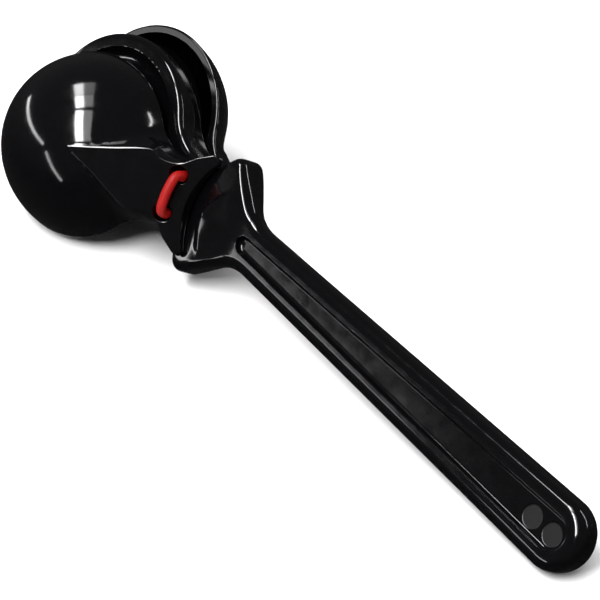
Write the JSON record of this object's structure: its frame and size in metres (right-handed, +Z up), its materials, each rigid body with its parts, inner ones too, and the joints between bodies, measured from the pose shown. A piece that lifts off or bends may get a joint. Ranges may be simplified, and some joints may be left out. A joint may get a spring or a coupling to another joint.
{
  "type": "flapper castanet",
  "caption": "Handle castanet: two hollow domed clapper shells laced with a red elastic cord over a round paddle on a long channelled handle.",
  "frame": {"origin": "on the floor under the middle of the whole instrument as it lies, half on its side, on the back dome, the edge of the paddle and the butt", "axes": "+Z up from the floor, +X along the handle from the paddle to the butt, +Y away from the side that the front clapper faces"},
  "size_m": [0.2366, 0.0682, 0.0482],
  "materials": {
    "black_plastic": "moulded, polished gloss",
    "red_elastic": "satin"
  },
  "bodies": {
    "handle": {"handle_paddle": "black_plastic", "elastic_cord": "red_elastic"},
    "front_clapper": {"front_clapper": "black_plastic"},
    "back_clapper": {"back_clapper": "black_plastic"}
  },
  "joints": [
    {"name": "front_hinge", "type": "hinge", "parent": "handle", "child": "front_clapper", "pos_m": [-0.04214, -0.00203, 0.02471], "axis": [-0.1262, 0.5958, 0.7931], "range_deg": [-4.4, 5], "stiffness_Nm_per_rad": 0.3},
    {"name": "back_hinge", "type": "hinge", "parent": "handle", "child": "back_clapper", "pos_m": [-0.0429, 0.00468, 0.0144], "axis": [-0.2441, -0.5954, -0.7655], "range_deg": [-0.4, 5.5], "stiffness_Nm_per_rad": 0.3}
  ]
}
